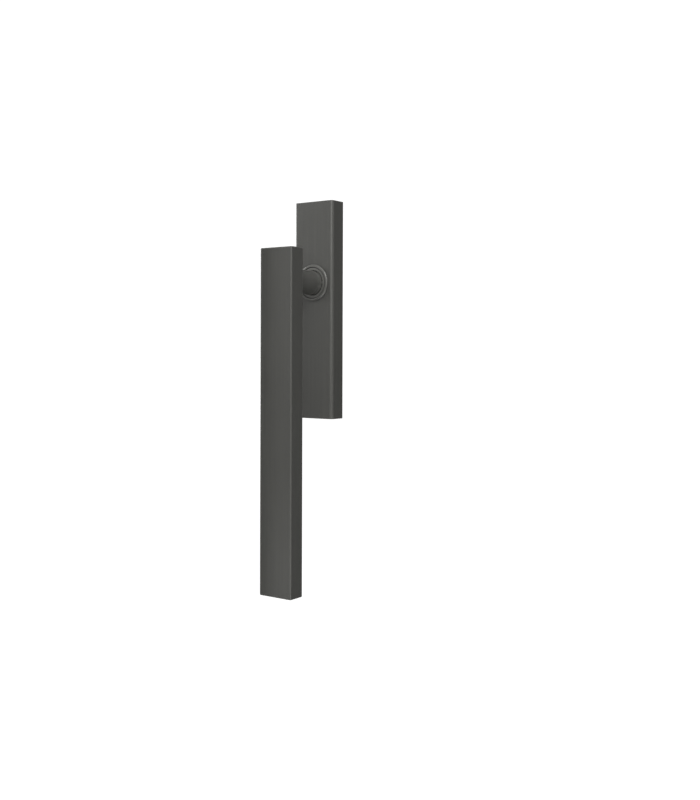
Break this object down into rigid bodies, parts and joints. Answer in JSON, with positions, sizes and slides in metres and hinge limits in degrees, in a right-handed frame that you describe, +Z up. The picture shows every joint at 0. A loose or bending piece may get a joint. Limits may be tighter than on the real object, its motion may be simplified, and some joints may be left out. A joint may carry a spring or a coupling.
{
  "type": "lift-and-slide patio door lever handle",
  "caption": "Lever handle for a lift-and-slide patio door: a long flat bar grip on a round neck that turns on a rectangular escutcheon plate.",
  "frame": {"origin": "on the spindle axis in the plane of the door's face, midway between the two fixing holes", "axes": "+Z up along the plate, +X right as seen from the room, +Y from the room into the door"},
  "size_m": [0.047, 0.0765, 0.384],
  "materials": {
    "dark_anodised": "satin brushed",
    "cast_alloy": "as cast",
    "steel": "machined",
    "spring_steel": "satin",
    "rivet_alloy": "satin",
    "bearing_plastic": "matt"
  },
  "bodies": {
    "plate": {"escutcheon_cover": "dark_anodised", "base_plate": "cast_alloy", "guide_ring": "dark_anodised", "bearing_bush": "bearing_plastic", "thrust_washer": "bearing_plastic", "stop_pin": "steel", "cover_clips": "spring_steel", "clip_rivets": "rivet_alloy"},
    "lever": {"grip_bar": "dark_anodised", "neck": "dark_anodised", "neck_screw": "steel", "neck_dowels": "steel", "drive_sleeve": "steel", "sleeve_pins": "steel", "spindle_grub_screw": "steel", "stop_disc": "steel", "wave_washer": "spring_steel", "retaining_ring": "spring_steel"}
  },
  "joints": [
    {"name": "lever_turn", "type": "hinge", "parent": "plate", "child": "lever", "pos_m": [0, 0, 0], "axis": [0, 1, 0], "range_deg": [0, 180]}
  ]
}
